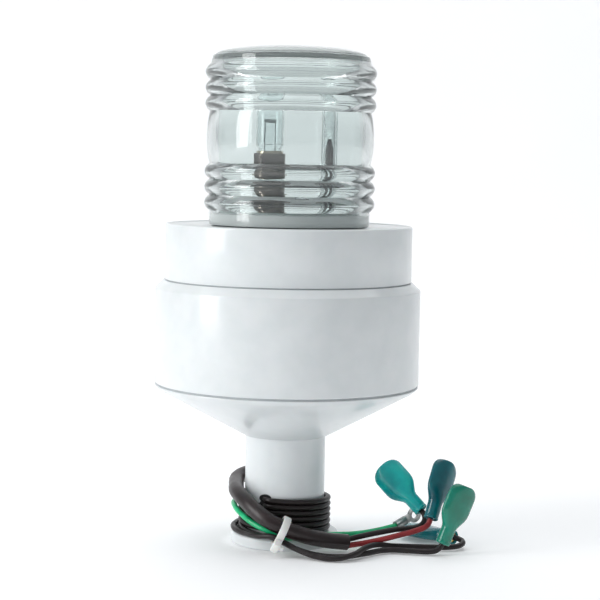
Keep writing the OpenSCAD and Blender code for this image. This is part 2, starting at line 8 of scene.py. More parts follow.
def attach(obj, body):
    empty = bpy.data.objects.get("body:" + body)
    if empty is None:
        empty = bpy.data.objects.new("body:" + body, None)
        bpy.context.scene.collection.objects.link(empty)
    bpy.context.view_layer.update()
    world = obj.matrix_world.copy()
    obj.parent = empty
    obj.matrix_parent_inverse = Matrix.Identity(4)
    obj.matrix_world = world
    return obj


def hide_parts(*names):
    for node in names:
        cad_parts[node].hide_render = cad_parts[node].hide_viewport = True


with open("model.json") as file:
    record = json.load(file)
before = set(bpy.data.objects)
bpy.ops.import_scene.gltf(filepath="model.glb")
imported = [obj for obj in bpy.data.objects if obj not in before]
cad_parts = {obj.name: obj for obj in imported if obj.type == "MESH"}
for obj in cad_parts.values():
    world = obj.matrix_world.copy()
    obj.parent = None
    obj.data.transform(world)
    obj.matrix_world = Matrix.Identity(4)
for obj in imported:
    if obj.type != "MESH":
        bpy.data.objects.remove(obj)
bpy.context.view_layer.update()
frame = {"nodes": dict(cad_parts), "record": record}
mm = 0.001
print("frame loaded:", len(frame["nodes"]), "nodes")


def deselectAll():
    if bpy.context.object and bpy.context.object.mode != "OBJECT":
        bpy.ops.object.mode_set(mode="OBJECT")
    bpy.ops.object.select_all(action="DESELECT")


def selectOnly(piece):
    deselectAll()
    piece.select_set(True)
    bpy.context.view_layer.objects.active = piece


def bakePlace(piece):
    selectOnly(piece)
    bpy.ops.object.transform_apply(location=True, rotation=True, scale=True)


def addBevel(piece, width, segments, angle):
    selectOnly(piece)
    bevel = piece.modifiers.new("edgeRound", "BEVEL")
    bevel.width = width
    bevel.segments = segments
    bevel.limit_method = "ANGLE"
    bevel.angle_limit = math.radians(angle)
    bevel.harden_normals = False
    bpy.ops.object.modifier_apply(modifier=bevel.name)


def smooth(piece, angle=32):
    selectOnly(piece)
    bpy.ops.object.shade_smooth_by_angle(angle=math.radians(angle))


def turnOnLathe(name, outline, steps):
    # one vertex, pulled along the outline and spun round the upright axis; outline in metres
    deselectAll()
    bpy.ops.mesh.primitive_plane_add(size=mm, location=(0, 0, 0))
    piece = bpy.context.object
    piece.name = name
    bpy.ops.object.mode_set(mode="EDIT")
    bpy.ops.mesh.merge(type="CENTER")
    bpy.ops.transform.translate(value=(outline[0][0], 0, outline[0][1]))
    for (r0, z0), (r1, z1) in zip(outline, outline[1:]):
        bpy.ops.mesh.extrude_region_move(TRANSFORM_OT_translate={"value": (r1 - r0, 0, z1 - z0)})
    bpy.ops.mesh.select_all(action="SELECT")
    bpy.ops.mesh.spin(steps=steps, angle=2 * math.pi, center=(0, 0, 0), axis=(0, 0, 1))
    bpy.ops.mesh.select_all(action="SELECT")
    bpy.ops.mesh.remove_doubles(threshold=0.002 * mm)
    bpy.ops.mesh.dissolve_degenerate(threshold=0.001 * mm)
    bpy.ops.mesh.normals_make_consistent(inside=False)
    bpy.ops.object.mode_set(mode="OBJECT")
    return piece


def loft(name, stations, sides):
    # a ring of points pulled from station to station; each is (height, half width, half depth) in mm
    deselectAll()
    z, rx, ry = stations[0]
    bpy.ops.mesh.primitive_circle_add(vertices=sides, radius=mm, location=(0, 0, 0))
    piece = bpy.context.object
    piece.name = name
    bpy.ops.object.mode_set(mode="EDIT")
    bpy.ops.mesh.select_all(action="SELECT")
    bpy.ops.transform.resize(value=(rx, ry, 1))
    bpy.ops.transform.translate(value=(0, 0, z * mm))
    for nextZ, nextRx, nextRy in stations[1:]:
        bpy.ops.mesh.extrude_region_move(
            TRANSFORM_OT_translate={"value": (0, 0, (nextZ - z) * mm)})
        bpy.ops.transform.resize(value=(nextRx / rx, nextRy / ry, 1))
        z, rx, ry = nextZ, nextRx, nextRy
    bpy.ops.mesh.select_all(action="SELECT")
    bpy.ops.mesh.remove_doubles(threshold=0.002 * mm)
    bpy.ops.mesh.normals_make_consistent(inside=False)
    bpy.ops.object.mode_set(mode="OBJECT")
    return piece


def placeAlong(piece, start, direction, turnDeg):
    # lays a piece made along +Z on its place, baked into its mesh
    way = Vector(direction).normalized()
    piece.matrix_world = (Matrix.Translation(Vector(start) * mm)
                          @ Matrix.Rotation(math.atan2(way.y, way.x), 4, "Z")
                          @ Matrix.Rotation(math.acos(way.z), 4, "Y")
                          @ Matrix.Rotation(math.radians(turnDeg), 4, "Z"))
    bakePlace(piece)


def copyOf(piece, name):
    twin = piece.copy()
    twin.data = piece.data.copy()
    twin.name = name
    bpy.context.scene.collection.objects.link(twin)
    return twin


def joinInto(piece, *others):
    selectOnly(piece)
    for other in others:
        other.select_set(True)
    bpy.ops.object.join()


def closeOutline(points):
    return list(points) + [points[0]]


def arcPoints(cr, cz, radius, fromDeg, toDeg, count):
    # points of a round corner, in the outline's own plane
    steps = [fromDeg + (toDeg - fromDeg) * i / (count - 1) for i in range(count)]
    return [(cr + radius * math.cos(math.radians(a)), cz + radius * math.sin(math.radians(a)))
            for a in steps]


def inMm(points):
    return [(r * mm, z * mm) for r, z in points]


def around(r, deg, z):
    return (r * math.cos(math.radians(deg)), r * math.sin(math.radians(deg)), z)


def wind(r, fromDeg, toDeg, fromZ, toZ, steps):
    return [around(r, fromDeg + (toDeg - fromDeg) * i / steps, fromZ + (toZ - fromZ) * i / steps)
            for i in range(steps + 1)]


def hexColour(code):
    parts = [int(code[i:i + 2], 16) / 255 for i in (1, 3, 5)]
    linear = [c / 12.92 if c <= 0.04045 else ((c + 0.055) / 1.055) ** 2.4 for c in parts]
    return (*linear, 1)


def addNode(tree, kind, settings=None, links=None):
    node = tree.nodes.new(kind)
    for key, value in (settings or {}).items():
        if key in node.inputs:
            node.inputs[key].default_value = value
        else:
            setattr(node, key, value)
    for key, source in (links or {}).items():
        tree.links.new(source, node.inputs[key])
    return node


def newMaterial(name, sockets):
    material = bpy.data.materials.new(name)
    material.use_nodes = True
    tree = material.node_tree
    shader = tree.nodes["Principled BSDF"]
    for key, value in sockets.items():
        shader.inputs[key].default_value = value
    place = addNode(tree, "ShaderNodeTexCoord").outputs["Object"]
    return material, tree, shader, place


def perMetre(sizeMm):
    # a noise scale whose blotches are about this many millimetres across
    return 1 / (sizeMm * mm)


def addBump(tree, shader, height, distanceMm):
    bump = addNode(tree, "ShaderNodeBump", {"Strength": 1.0, "Distance": distanceMm * mm},
                   {"Height": height})
    tree.links.new(bump.outputs["Normal"], shader.inputs["Normal"])


def mixColours(tree, factor, low, high, lowAt, highAt):
    ramp = addNode(tree, "ShaderNodeValToRGB", {}, {"Fac": factor})
    ramp.color_ramp.elements[0].position = lowAt
    ramp.color_ramp.elements[1].position = highAt
    ramp.color_ramp.elements[0].color = hexColour(low)
    ramp.color_ramp.elements[1].color = hexColour(high)
    return ramp.outputs["Color"]


def stretch(tree, value, fromLow, fromHigh, low, high):
    node = addNode(tree, "ShaderNodeMapRange",
                   {"From Min": fromLow, "From Max": fromHigh, "To Min": low, "To Max": high},
                   {"Value": value})
    return node.outputs["Result"]


def noiseAt(tree, place, sizeMm, detail=3.0):
    return addNode(tree, "ShaderNodeTexNoise", {"Scale": perMetre(sizeMm), "Detail": detail},
                   {"Vector": place}).outputs["Fac"]


def glossWhiteAsa():
    # ASA moulded in a polished tool: clean white, sharp reflections, the faintest orange peel
    look = {"tint": ("#DEE3E4", "#E4E8E9"), "peelMm": 2.6, "scuffMm": 9.0}
    material, tree, shader, place = newMaterial("glossWhiteAsa", {
        "IOR": 1.5, "Coat Weight": 0.35, "Coat Roughness": 0.06,
        "Subsurface Weight": 0.05, "Subsurface Scale": 0.8 * mm})
    scuffs = noiseAt(tree, place, look["scuffMm"])
    colour = mixColours(tree, scuffs, *look["tint"], 0.35, 0.65)
    tree.links.new(colour, shader.inputs["Base Color"])
    tree.links.new(stretch(tree, scuffs, 0.3, 0.7, 0.28, 0.34), shader.inputs["Roughness"])
    addBump(tree, shader, noiseAt(tree, place, look["peelMm"], 1.0), 0.004)
    return material


def pressedAcrylic():
    # pressed acrylic: glass-like with a breath of green and slight flow waves; the skirt and the
    # roof
    # are half matt as painted light: the lit collar behind the skirt and a reflection on the roof
    look = {"tint": "#ECF2F1", "flowMm": 7.0, "clear": 0.95, "matt": 0.5,
            "skirt": (113.4 * mm, 114.2 * mm), "roof": (167.3 * mm, 168.1 * mm)}
    material, tree, shader, place = newMaterial("pressedAcrylic", {
        "Base Color": hexColour(look["tint"]), "IOR": 1.49, "Roughness": 0.015})
    height = addNode(tree, "ShaderNodeSeparateXYZ", {}, {"Vector": place}).outputs["Z"]
    # half matt bands at the skirt and the roof: painted light for the collar behind and the roof's
    # reflection
    aboveSkirt = stretch(tree, height, *look["skirt"], look["matt"], look["clear"])
    belowRoof = addNode(tree, "ShaderNodeMapRange", {
        "From Min": look["roof"][0], "From Max": look["roof"][1], "To Max": look["matt"]},
        {"Value": height, "To Min": aboveSkirt})
    tree.links.new(belowRoof.outputs["Result"], shader.inputs["Transmission Weight"])
    addBump(tree, shader, noiseAt(tree, place, look["flowMm"], 1.0), 0.05)
    return material


def bulbGlass():
    # thin lamp glass: colourless, with faint draw lines along it
    material, tree, shader, place = newMaterial("bulbGlass", {
        "Base Color": hexColour("#F6FBFB"), "IOR": 1.5, "Transmission Weight": 1.0,
        "Roughness": 0.01})
    addBump(tree, shader, noiseAt(tree, place, 3.0, 1.0), 0.03)
    return material


def plainPlastic(name, dark, light, roughness, grainMm=0.7, bumpMm=0.02, blotchMm=6.0, extra=None):
    # moulded thermoplastic: two close tones, uneven gloss, fine tool grain
    material, tree, shader, place = newMaterial(name, {"IOR": 1.48, **(extra or {})})
    blotches = noiseAt(tree, place, blotchMm)
    colour = mixColours(tree, blotches, dark, light, 0.3, 0.7)
    tree.links.new(colour, shader.inputs["Base Color"])
    gloss = stretch(tree, blotches, 0.3, 0.7, roughness * 0.85, roughness * 1.2)
    tree.links.new(gloss, shader.inputs["Roughness"])
    addBump(tree, shader, noiseAt(tree, place, grainMm), bumpMm)
    return material


def plainMetal(name, dark, light, roughness, grainMm=0.5, bumpMm=0.01):
    # plated or turned metal: slight tarnish in blotches, fine tool marks
    material, tree, shader, place = newMaterial(name, {"Metallic": 1.0})
    tarnish = noiseAt(tree, place, 3.0, 5.0)
    colour = mixColours(tree, tarnish, dark, light, 0.35, 0.65)
    tree.links.new(colour, shader.inputs["Base Color"])
    gloss = stretch(tree, tarnish, 0.3, 0.7, roughness * 1.4, roughness * 0.8)
    tree.links.new(gloss, shader.inputs["Roughness"])
    addBump(tree, shader, noiseAt(tree, place, grainMm), bumpMm)
    return material


nylonClear = {"Subsurface Weight": 0.25, "Subsurface Scale": 1.5 * mm, "Coat Weight": 0.3,
              "Coat Roughness": 0.12, "Transmission Weight": 0.18}
finishes = {
    "white_housing": glossWhiteAsa(),
    "lens_clear": pressedAcrylic(),
    "bulb_clear": bulbGlass(),
    "bush_metal": plainMetal("turnedZinc", "#9FA2A5", "#C9CBCD", 0.3),
    "dark_screw": plainMetal("blackenedSteel", "#2B2C2E", "#4A4C4F", 0.4),
    "black_rubber": plainPlastic("nitrileRubber", "#141415", "#1F2021", 0.6, 0.4, 0.03),
    "grey_seal": plainPlastic("greyGasketRubber", "#A4A9AC", "#B6BBBE", 0.6, 0.4, 0.02),
    "screw_steel": plainMetal("platedSteel", "#A7A9AB", "#D2D4D5", 0.22),
    "board_green": plainPlastic("boardLacquer", "#14532D", "#1B6B3B", 0.3, 0.6, 0.02),
    "capacitor_sleeve": plainPlastic("shrinkSleeve", "#141C3E", "#1B2752", 0.25),
    "relay_case": plainPlastic("relayCase", "#1B1C1E", "#26282A", 0.45),
    "block_green": plainPlastic("blockPolyamide", "#2A7145", "#358A55", 0.4),
    "sheath_brown_black": plainPlastic("cableSheathPvc", "#1B0F0F", "#291A1A", 0.4, 1.1, 0.05,
                                       4.0, {"Coat Weight": 0.15, "Coat Roughness": 0.3}),
    "wire_black": plainPlastic("wirePvcBlack", "#140B0C", "#1F1415", 0.42, 0.8, 0.03, 3.0),
    "wire_red": plainPlastic("wirePvcRed", "#7E1A20", "#A02A2C", 0.36, 0.8, 0.03, 3.0),
    "wire_green": plainPlastic("wirePvcGreen", "#10B070", "#22D08C", 0.32, 0.8, 0.03, 3.0),
    "platform_grey": plainPlastic("platformAbs", "#D5D8DA", "#E4E6E7", 0.35),
    "socket_bronze": plainMetal("oxidisedBrass", "#1D1917", "#7A7069", 0.2, 1.4, 0.08),
    "insulator_brown": plainPlastic("phenolic", "#2C1B14", "#3F2920", 0.4),
    "contact_brass": plainMetal("springBrass", "#B08A45", "#DDBB72", 0.25),
    "bracket_dark": plainMetal("blackenedBracket", "#222427", "#3D4043", 0.35),
    "post_clear": plainPlastic("milkyAcrylic", "#EEF3F3", "#F6F9F9", 0.06, 2.0, 0.01, 6.0,
                               {"Transmission Weight": 0.95}),
    "sensor_red": plainPlastic("sensorLacquer", "#1E0F10", "#3A1A1A", 0.2),
    "bulb_base_nickel": plainMetal("nickelBrass", "#A79C84", "#D8CFB8", 0.2),
    "filament_metal": plainMetal("drawnWire", "#A9ABAE", "#D0D2D4", 0.3),
    "solder": plainMetal("solderTin", "#9C9EA0", "#C4C6C8", 0.3, 1.2, 0.05),
    "tie_white": plainPlastic("tieNylon", "#ECECE8", "#F6F6F3", 0.35, 1.0, 0.02, 4.0,
                              {"Subsurface Weight": 0.2, "Subsurface Scale": 1.0 * mm}),
    "tinned_lug": plainMetal("tinnedCopper", "#8E908F", "#C2C4C2", 0.32, 1.0, 0.04),
    "sleeve_cyan": plainPlastic("nylonCyan", "#0A9EA4", "#18CFC8", 0.22, 1.4, 0.03, 7.0, nylonClear),
    "sleeve_teal": plainPlastic("nylonTeal", "#06606C", "#0A7C86", 0.22, 1.4, 0.03, 7.0, nylonClear),
    "sleeve_sea_green": plainPlastic("nylonSeaGreen", "#068069", "#0E9A80", 0.22, 1.4, 0.03, 7.0,
                                     nylonClear),
    "sleeve_blue_green": plainPlastic("nylonBlueGreen", "#08717C", "#0F9AA0", 0.22, 1.4, 0.03, 7.0,
                                      nylonClear),
}
slotOf = {s["node"]: s["material_slot"] for s in frame["record"]["subparts"]}


def finish(piece, slot):
    piece.data.materials.clear()
    piece.data.materials.append(finishes[slot])


def standFor(piece, body, *nodes):
    finish(piece, slotOf[nodes[0]])
    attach(piece, body)
    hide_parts(*nodes)


for nodeName, piece in frame["nodes"].items():
    piece.data.materials.clear()
    piece.data.materials.append(finishes[slotOf[nodeName]])
print("materials made:", len(finishes))


# where the camera stands, in mm from the foot's centre
cameraPlace = {"back": 595.7, "aside": -17.0, "height": 132.6, "pitchDeg": 4.66, "yawDeg": -2.04,
               "rollDeg": 0.97, "lensMm": 104.0, "sensorMm": 36, "nearest": 20}
bpy.ops.object.camera_add(location=(cameraPlace["aside"] * mm, -cameraPlace["back"] * mm,
                                    cameraPlace["height"] * mm))
camera = bpy.context.object
camera.name = "mainCamera"
camera.data.lens = cameraPlace["lensMm"]
camera.data.sensor_width = cameraPlace["sensorMm"]
camera.data.clip_start = cameraPlace["nearest"] * mm
aim = (Matrix.Rotation(math.radians(cameraPlace["yawDeg"]), 4, "Z")
       @ Matrix.Rotation(math.radians(90 - cameraPlace["pitchDeg"]), 4, "X")
       @ Matrix.Rotation(math.radians(cameraPlace["rollDeg"]), 4, "Z"))
camera.rotation_euler = aim.to_euler()
bpy.context.scene.camera = camera
print("camera placed")


# cords: widths, the wrap round the stem, where each leaves the stem and its route, in mm
leadSizes = {"sheath": 5.4, "wire": 1.9, "wrapR": 15.1, "wrapPitch": 3.95, "exitR": 12.9}
exits = {"black1": around(leadSizes["exitR"], -124, 16.8),
         "black2": around(leadSizes["exitR"], -124, 14.8),
         "lead": around(leadSizes["exitR"], 59.5, 22),
         "green": around(leadSizes["exitR"], 40, 16.8)}


def wrap(fromDeg, toDeg, steps, frontZ):
    # turns of wire on the stem, going down one pitch a turn
    r, pitch = leadSizes["wrapR"], leadSizes["wrapPitch"]
    return wind(r, fromDeg, toDeg, frontZ - (fromDeg + 90) * pitch / 360,
                frontZ - (toDeg + 90) * pitch / 360, steps)


routes = {
    "lead_cable": [exits["lead"], (4.7, 15.3, 22), (2, 19.1, 21.7), (-2, 21.5, 21.3),
                   (-6.6, 22, 20.8), (-11.1, 20.6, 20.2), (-14.5, 17.5, 19.7),
                   (-16.4, 13.3, 19.2), (-16.8, 8, 18.7), (-16.8, 2.5, 18.4),
                   around(17, 190, 18.1), around(17.8, 210, 17.4), around(19.2, 227, 16),
                   around(20.8, 241, 13.8), (-5.6, -21.9, 11.2), (-0.9, -22.6, 9.1),
                   (6, -21.9, 6.5), (13, -20, 4.6), (21, -17.3, 3.2)],
    "lead_black": [(21.5, -17, 4.2), (27, -15.4, 5.2), (33, -13.8, 6.1), (38, -12.4, 6.7),
                   (42, -11.3, 6.9), (45.3, -10.4, 7.2), (47.1, -9.5, 7.9), (48.1, -8.4, 9),
                   (48.2, -7.1, 10.6), (47.3, -6, 12.1)],
    "lead_red": [(21.4, -17.7, 2.2), (27, -17.2, 3), (33, -16.4, 4.1), (39, -15.2, 5.4),
                 (45, -14.2, 6.9), (48.6, -13.5, 8.5), (49.7, -13, 10.6)],
    "wire_black_1": [exits["black1"], around(15.3, -113, 16.65), *wrap(-98, 910, 56, 16.35),
                     around(15.7, 927, 5.2), (-11.6, -12, 5.1), (-8.4, -18.2, 5.4),
                     (-4.3, -22.2, 5.6), (-1.2, -22.7, 4.3), (3.6, -25, 2.4), (11, -28.4, 1.15),
                     (18.3, -30, 1.15), (26.2, -25.4, 1.15), (34.8, -19.4, 1.15),
                     (41, -20.2, 1.15), (45, -21.2, 1.15), (49, -21.6, 1.2), (50.7, -21.7, 1.6),
                     (52, -21.7, 2.6), (52.9, -21.5, 3.9)],
    "wire_black_2": [exits["black2"], around(15.3, -113, 14.7), *wrap(-98, 712, 45, 14.4),
                     around(15.15, 730, 5.35), around(15.5, 748, 5.15), around(16, 768, 5.1),
                     around(16.5, 790, 5.1), around(16.9, 815, 5.1), around(17.2, 842, 5.1),
                     around(17.4, 868, 5.1), around(17.5, 890, 5.1), around(17.9, 910, 5.2),
                     around(18.5, 928, 5.2), (-13.7, -13.4, 5.2), (-9.4, -20.4, 5.8),
                     (-4.2, -24.4, 6.3), (-1.1, -24.9, 4.9), (3.8, -27.4, 2.8),
                     (10.5, -30.7, 1.15), (17, -32.6, 1.15), (22.5, -30.8, 2.2),
                     (26.5, -25.6, 3.2), (31, -19.8, 3), (37, -15.2, 1.6), (43.5, -13.9, 1.15),
                     (50, -14.3, 1.15), (57, -14.5, 1.25), (60, -13.2, 1.6), (61.3, -10.2, 2.1),
                     (60, -7.2, 2.6), (58.9, -6.1, 2.7)],
    "wire_green": [exits["green"], around(15.4, 51, 16.7), around(16.9, 66, 16.4),
                   around(17.2, 85, 15.7), around(17.4, 105, 14.9), around(17.5, 125, 14.1),
                   around(17.6, 146, 13.4), around(17.6, 168, 13), around(17.6, 190, 12.8),
                   (-14.8, -11.2, 11.2), (-9.6, -17.4, 8.6), (-4.2, -20.3, 6.8),
                   (-1.1, -20.4, 5.4), (4, -18.9, 5.2), (10, -16.4, 5.4), (17, -13, 4.9),
                   (24, -10.2, 4.6), (31, -7.6, 5.1), (38.6, -4.6, 6.3)],
}


def cordWidth(nodeName):
    return leadSizes["sheath" if nodeName == "lead_cable" else "wire"] * mm


def makeCord(nodeName):
    # a round tube on one smooth spline through the route's points
    data = bpy.data.curves.new(nodeName + "Line", "CURVE")
    data.dimensions = "3D"
    data.resolution_u = 8
    data.bevel_depth = cordWidth(nodeName) / 2
    data.bevel_resolution = 5
    data.use_fill_caps = True
    spline = data.splines.new("BEZIER")
    points = [Vector(p) * mm for p in routes[nodeName]]
    spline.bezier_points.add(len(points) - 1)
    for knot, point in zip(spline.bezier_points, points):
        knot.co = point
        knot.handle_left_type = knot.handle_right_type = "AUTO"
    cord = bpy.data.objects.new(nodeName + "Cord", data)
    bpy.context.scene.collection.objects.link(cord)
    standFor(cord, "housing", nodeName)
    return cord


def routeLength(nodeName):
    points = [Vector(p) * mm for p in routes[nodeName]]
    return sum((b - a).length for a, b in zip(points, points[1:]))


cords = {name: makeCord(name) for name in routes}
for name in routes:
    print("cord", name, "line length", round(routeLength(name), 4))


# the lens, in mm
lensShape = {"valleyR": 27.6, "ribs": 3, "ribOut": 1.66, "pitch": 5.35, "lowRib": 117.3,
             "highRib": 151, "beltOut": 1.15, "steps": 12, "boreR": 24.6, "capBoreR": 23.4,
             "skirtBoreR": 26.62, "ringBoreR": 24.05, "topZ": 167.4, "dome": 3.45, "roof": 3.0,
             "roofRise": 2.8, "skirtZ": 109.82, "seatDepth": 1.15, "ringTopZ": 116.7,
             "lowBoreZ": 118.2}


def arch(halfWidth, baseZ, rise, degrees):
    return [(halfWidth * math.cos(math.radians(a)), baseZ + rise * math.sin(math.radians(a)))
            for a in degrees]


def ribEdge(lowZ, shape):
    points = []
    for rib in range(shape["ribs"]):
        for step in range(shape["steps"]):
            part = step / shape["steps"]
            points.append((shape["valleyR"] + shape["ribOut"] * math.sin(math.pi * part) ** 0.75,
                           lowZ + shape["pitch"] * (rib - 0.5 + part)))
    return points


def makeLens(shape):
    # one pressed shell: ribs below and above a smooth belt, stepped bore, slightly domed roof
    valley, skirt, bore = shape["valleyR"], shape["skirtZ"], shape["boreR"]
    halfRib, top = 0.5 * shape["pitch"], shape["topZ"]
    lowTop = shape["lowRib"] + shape["ribs"] * shape["pitch"] - halfRib
    highLow = shape["highRib"] - halfRib
    highTop = shape["highRib"] + shape["ribs"] * shape["pitch"] - halfRib
    middle, half = (lowTop + highLow) / 2, (highLow - lowTop) / 2
    belt = [(valley - 0.15 + shape["beltOut"] * math.cos(math.pi / 2 * t) ** 0.55,
             middle + half * t) for t in [i / 10 for i in range(-9, 10)]]
    rimR = valley - 1.6
    dome = arch(rimR, top, shape["dome"], range(0, 91, 10))
    roof = arch(shape["capBoreR"], top - shape["roof"], shape["roofRise"], range(90, -1, -10))
    outline = [(shape["skirtBoreR"], skirt), (valley - 0.3, skirt), (valley - 0.05, skirt + 0.3),
               (valley, skirt + 2), (valley, shape["lowRib"] - halfRib - 0.2),
               *ribEdge(shape["lowRib"], shape), (valley, lowTop), *belt,
               *ribEdge(shape["highRib"], shape), (valley, highTop),
               (valley - 0.3, top - 2.2), (valley - 0.6, top - 0.9),
               *arcPoints(rimR + 0.2, top - 0.75, 0.75, 0, 80, 4), *dome, *roof,
               (shape["capBoreR"], highLow + 0.6), (bore, highLow - 0.4),
               (bore + 0.25, middle), (bore, lowTop + 0.4),
               (bore - 0.5, lowTop - 0.6), (bore - 0.5, shape["lowBoreZ"]),
               (shape["ringBoreR"], shape["ringTopZ"]),
               (shape["ringBoreR"], skirt + shape["seatDepth"]),
               (shape["skirtBoreR"], skirt + shape["seatDepth"])]
    lens = turnOnLathe("clearLens", closeOutline(inMm(outline)), 192)
    smooth(lens, 40)
    return lens


standFor(makeLens(lensShape), "lens", "lens")
print("lens made")


# cap, drum, cone and foot, in mm
housingShape = {"capR": 42.4, "capZ": 91.0, "deckZ": 109.5, "deckT": 2.6, "wireHoleR": 2.6,
                "wall": 2.4, "insideR": 1.5, "drumR": 45.6, "drumZ": 55.6, "shoulderZ": 88.4,
                "ledgeR": 8.6, "seamZ": 55.0, "neckZ": 37.3, "socketTopZ": 48, "stemR": 13.8,
                "footR": 18.6, "footBoreR": 11.4, "footT": 4.0}


def makeCap(s):
    rim, deck = s["capR"], s["deckZ"]
    under, inside = deck - s["deckT"], rim - s["wall"] - s["insideR"]
    outline = [(rim - s["wall"], s["capZ"]), (rim - 0.35, s["capZ"]),
               *arcPoints(rim - 0.3, s["capZ"] + 0.3, 0.3, -90, 0, 3),
               *arcPoints(rim - 0.7, deck - 0.2, 0.7, 0, 90, 6), (rim - 1.0, deck + 0.5),
               *arcPoints(rim - 1.1, deck + 0.2, 0.3, 90, 160, 3), (rim - 1.9, deck),
               (s["wireHoleR"], deck), (s["wireHoleR"], under), (inside, under),
               *arcPoints(inside, under - s["insideR"], s["insideR"], 80, 0, 4)]
    cap = turnOnLathe("whiteCap", closeOutline(inMm(outline)), 192)
    smooth(cap)
    return cap


def makeDrum(s):
    r, top, ledge = s["drumR"], s["capZ"] - 0.4, s["capR"] - s["ledgeR"]
    outline = [(r - s["wall"], s["drumZ"]), (r - 0.45, s["drumZ"]),
               *arcPoints(r - 0.45, s["drumZ"] + 0.45, 0.45, -80, 0, 4),
               *arcPoints(r - 0.6, s["shoulderZ"] - 0.6, 0.6, 0, 55, 5), (s["capR"] + 0.45, top),
               (s["capR"] + 0.2, top), (ledge, top), (ledge, top - 3),
               (r - s["wall"] - 2, top - 3), (r - s["wall"], top - 5)]
    drum = turnOnLathe("whiteDrum", closeOutline(inMm(outline)), 192)
    smooth(drum)
    return drum


def makeCone(s):
    r, seam, neck, stem = s["drumR"], s["seamZ"], s["neckZ"], s["stemR"]
    outline = [(stem + 0.1, neck + 0.3), (stem + 0.3, neck + 0.05), (stem + 0.75, neck + 0.1),
               (r - 1.75, seam - 1.75), (r - 1.45, seam - 1.5), (r - 0.1, seam - 0.3), 
               (r - 0.15, seam - 0.05), (r - 0.4, seam), (r - 2.45, seam), (r - 2.45, seam + 6),
               (r - 4.4, seam + 6), (r - 4.4, seam), (stem + 2.5, neck + 3.9),
               (stem + 2.5, s["socketTopZ"]), (stem + 0.1, s["socketTopZ"])]
    cone = turnOnLathe("whiteCone", closeOutline(inMm(outline)), 192)
    smooth(cone, 25)
    return cone


def makeFoot(s):
    r, t, bore = s["footR"], s["footT"], s["footBoreR"]
    outline = [(bore, 0), (r - 0.7, 0), *arcPoints(r - 0.6, 0.6, 0.6, -80, 0, 4),
               *arcPoints(r - 0.9, t - 0.9, 0.9, 0, 90, 6), (bore, t)]
    foot = turnOnLathe("whiteFoot", closeOutline(inMm(outline)), 160)
    smooth(foot)
    return foot


for maker, node in ((makeCap, "top_cap"), (makeDrum, "body_drum"), (makeCone, "cone_base"),
                    (makeFoot, "foot_flange")):
    standFor(maker(housingShape), "housing", node)
print("housing shells made")


# the nylon sleeves in mm, then where each one sits: start, direction and its own turn
sleeveShape = {"neckR": 2.5, "neckZ": 5.6, "halfWidth": 5.65, "halfDepth": 2.28, "topZ": 20.98,
               "cornerR": 3.6, "wall": 0.55, "boreR": 1.9}
terminals = [
    ((47.3, -6, 12.1), (-0.63, 0.42, 0.65), 15),
    ((49.7, -13, 10.6), (0.29, 0.38, 0.87), -15),
    ((52.9, -21.5, 3.9), (0.37, 0.12, 0.92), 10),
    ((58.9, -6.1, 2.7), (-0.72, 0.69, 0), 90),
]


def makeSleeve(s):
    # nylon: a round wire end that swells into a flat end with rounded shoulders and a mouth
    neck, wide, deep, top = s["neckR"], s["halfWidth"], s["halfDepth"], s["topZ"]
    side, corner = wide - s["cornerR"], s["cornerR"]
    shoulders = [(top - corner + corner * math.sin(math.radians(a)),
                  side + corner * math.cos(math.radians(a)), deep - 0.22 * a / 90)
                 for a in (10, 25, 40, 52, 64, 76)]
    outer = [(0.25, neck, neck), (0.8, neck - 0.02, neck - 0.02), (1.1, neck - 0.12, neck - 0.12),
             (1.4, neck - 0.02, neck - 0.02), (s["neckZ"], neck, neck - 0.02),
             (s["neckZ"] + 1, neck + 0.35, neck - 0.08), (s["neckZ"] + 2.4, neck + 1.4, deep),
             (s["neckZ"] + 3.8, wide - 0.75, deep - 0.04), (s["neckZ"] + 5.2, wide - 0.2, deep),
             (s["neckZ"] + 6.6, wide, deep), (top - corner, wide, deep), *shoulders]
    inner = [(z, rx - s["wall"], ry - s["wall"]) for z, rx, ry in reversed(shoulders[:-1])]
    inner += [(top - corner, wide - s["wall"], deep - s["wall"]),
              (s["neckZ"] + 6, wide - s["wall"] - 0.1, deep - s["wall"]),
              (s["neckZ"] + 3, s["boreR"] + 1, s["boreR"] - 0.1),
              (s["neckZ"] + 1, s["boreR"], s["boreR"]), (0.15, s["boreR"], s["boreR"]),
              (0, s["boreR"] + 0.15, s["boreR"] + 0.15), (0, neck - 0.25, neck - 0.25)]
    tip = [(top - 0.02, side + 0.5, deep - 0.28), (top - 0.05, side + 0.2, deep - s["wall"] - 0.2)]
    sleeve = loft("nylonSleeve", outer + tip + inner + [outer[0]], 48)
    smooth(sleeve, 50)
    return sleeve


firstSleeve = makeSleeve(sleeveShape)
for number, (start, direction, turnDeg) in enumerate(terminals, 1):
    sleeve = copyOf(firstSleeve, "nylonSleeve%d" % number)
    placeAlong(sleeve, start, direction, turnDeg)
    standFor(sleeve, "housing", "terminal_sleeve_%d" % number)
bpy.data.objects.remove(firstSleeve, do_unlink=True)
print("terminal sleeves made:", len(terminals))


# the cable tie, in mm; its head and tail are blocks given by middle and size
tieShape = {"at": (-1.5, -22.6, 7.8), "slopeDeg": 25, "ringR": 5.5, "innerR": 4.5, "half": 1.25,
            "headTurnDeg": -52, "ridges": 84,
            "blocks": (((6.75, 0, -0.1), (2.7, 4.2, 2.5)), ((6.9, 0, 1.7), (0.9, 2.2, 1.8)))}


